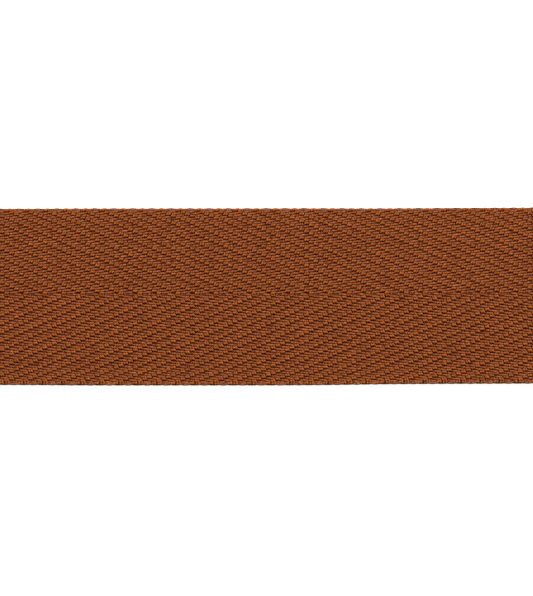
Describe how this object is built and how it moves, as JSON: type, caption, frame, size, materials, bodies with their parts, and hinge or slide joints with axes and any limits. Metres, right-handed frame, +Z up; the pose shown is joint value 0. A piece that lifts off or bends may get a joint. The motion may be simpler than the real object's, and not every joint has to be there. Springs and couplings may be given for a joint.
{
  "type": "herringbone twill ribbon",
  "caption": "Flat cut length of brown herringbone twill ribbon with woven edges and square-cut ends, lying on its underside.",
  "frame": {"origin": "centre of the ribbon's footprint, on the surface that its underside rests on", "axes": "+X along the ribbon, the way the herringbone points; +Y across the width; +Z up, out of the face that shows"},
  "size_m": [0.1, 0.0256, 0.0011],
  "materials": {
    "ribbon_cloth": "semi-matte twill of glossy twisted strands, reddish brown"
  },
  "bodies": {
    "root": {"ribbon": "ribbon_cloth"}
  },
  "joints": []
}
